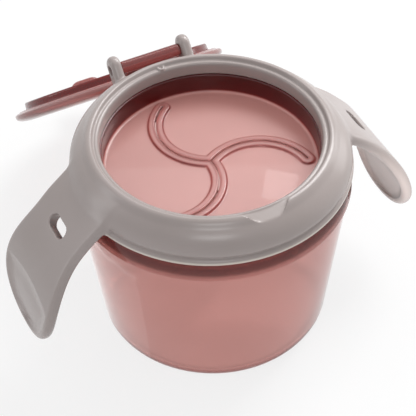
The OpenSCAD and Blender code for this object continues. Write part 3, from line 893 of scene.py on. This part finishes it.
def finish_tree(tree, end, plain, bright, share):
    """Shows bright in place of plain by a share, and ends the tree with it."""
    mix = add_node(tree, "MixShader")
    tree.links.new(share, mix.inputs["Fac"])
    tree.links.new(plain.outputs[0], mix.inputs[1])
    tree.links.new(bright.outputs[0], mix.inputs[2])
    tree.links.new(mix.outputs[0], end.inputs["Surface"])


def stage_sheet(name, corners, z):
    """A flat sheet on the stage, its bare material, and the material's empty node tree."""
    mesh = bpy.data.meshes.new(name)
    mesh.from_pydata([(x, y, z) for x, y in corners], [], [tuple(range(len(corners)))])
    material = bpy.data.materials.new(name)
    material.use_nodes = True
    material.node_tree.nodes.clear()
    material.cycles.emission_sampling = "NONE"
    mesh.materials.append(material)
    return add_object(name, mesh), material.node_tree


# A soft grey surround lights the part, and shows as white
world = bpy.data.worlds.new("studio")
bpy.context.scene.world = world
world.use_nodes = True
tree = world.node_tree
tree.nodes.clear()
finish_tree(tree, add_node(tree, "OutputWorld"),
            add_node(tree, "Background", Color=(0.97, 0.98, 1.0, 1), Strength=0.46),
            add_node(tree, "Background", Color=(1, 1, 1, 1), Strength=1.0), seen_directly(tree))

# A pale floor that keeps the part's shadow under a share of plain white
floor, tree = stage_sheet("floor", [(-3, -3), (3, -3), (3, 3), (-3, 3)], 0)
share = add_node(tree, "Math")
share.operation = "MULTIPLY"
share.inputs[1].default_value = 0.8
tree.links.new(seen_directly(tree), share.inputs[0])
finish_tree(tree, add_node(tree, "OutputMaterial"),
            add_node(tree, "BsdfDiffuse", Color=(0.86, 0.86, 0.86, 1)),
            add_node(tree, "Emission", Strength=1.0), share.outputs[0])

add_light("key", (0.84, 0.44, 1.08), (0, 0, 0.05), (0.65, 0.65), 15.0)
add_light("sky", (0.33, 0.71, 1.06), (0, 0, 0.073), (0.45, 0.36), 1.5)
add_light("right", (1.0, 0.15, 0.35), (0, 0, 0.05), (0.4, 0.8), 2.5)
add_light("left", (-1.0, 0.47, 0.40), (0, 0, 0.04), (0.22, 0.85), 1.5)
add_light("front", (-0.35, -0.78, 0.78), (0, 0, 0.07), (0.45, 0.13), 1.5)
# Seen in the membrane as the small bright patch
window = add_light("window", (0.434, 0.730, 0.908), (0.0164, -0.0229, 0.0729),
                   (0.037, 0.034), 0.032)
window.rotation_euler.rotate_axis("Z", math.radians(-9))

# A narrow lamp, low at the front, that fills the right handle's inner face
fill = bpy.data.lights.new("fill", "SPOT")
fill.energy = 5.0
fill.spot_size = math.radians(11)
fill.spot_blend = 0.6
fill.shadow_soft_size = 0.02
aimed(add_object("fill", fill), (-0.06, -0.28, 0.06), (0.079, 0, 0.043))


def add_card(name, corners, strength):
    """A glowing card beside the foot, seen only as a soft reflection in the bowl's side."""
    card, tree = stage_sheet(name, corners, 0.0005)
    for rays in ("camera", "diffuse", "transmission", "volume_scatter", "shadow"):
        setattr(card, "visible_" + rays, False)
    glow = add_node(tree, "Emission", Strength=strength)
    tree.links.new(glow.outputs[0], add_node(tree, "OutputMaterial").inputs["Surface"])


# The first card's outer side is the second one's inner side
outer_side = [(-0.077, 0.010), (-0.068, 0.034), (-0.055, 0.052)]
add_card("card_left", [(-0.040, -0.021), (-0.075, -0.014)] + outer_side + [(-0.036, 0.052)], 1.14)
add_card("card_edge", [(-0.0755, -0.014)] + outer_side
         + [(-0.057, 0.0535), (-0.070, 0.0352), (-0.079, 0.0102), (-0.0775, -0.014)], 1.7)


# ------------------------------------------------------------------ camera
# Lengths are in steps of camera_unit metres from the middle of the mouth
azimuth, elevation, roll = 25.5, 42.19, -1.53
distance, aim, camera_unit = 14.0, (-0.038, -0.668), 0.040
half_width, focal = 208, 1546.9


def camera_place():
    e = math.radians(elevation)
    side = np.array([1.0, 0, 0])
    pos = np.array([0, -distance * math.cos(e), distance * math.sin(e)])
    look = aim[0] * side + aim[1] * np.cross(side, -pos / np.linalg.norm(pos))
    ahead = (look - pos) / np.linalg.norm(look - pos)
    right = np.cross(ahead, [0, 0, 1.0])
    right /= np.linalg.norm(right)
    up = np.cross(right, ahead)
    c, s = math.cos(math.radians(roll)), math.sin(math.radians(roll))
    right, up = c * right + s * up, -s * right + c * up
    place = Matrix([(right[i], up[i], -ahead[i], pos[i] * camera_unit) for i in range(3)]
                   + [(0, 0, 0, 1)])
    turn = Matrix.Rotation(math.radians(-azimuth), 4, "Z")
    return Matrix.Translation((0, 0, lip_z * MM)) @ turn @ place


camera = bpy.data.cameras.new("camera")
camera.sensor_fit = "HORIZONTAL"
camera.angle = 2 * math.atan(half_width / focal)
bpy.context.scene.camera = add_object("camera", camera)
bpy.context.scene.camera.matrix_world = camera_place()
bpy.context.scene.view_settings.view_transform = "Standard"
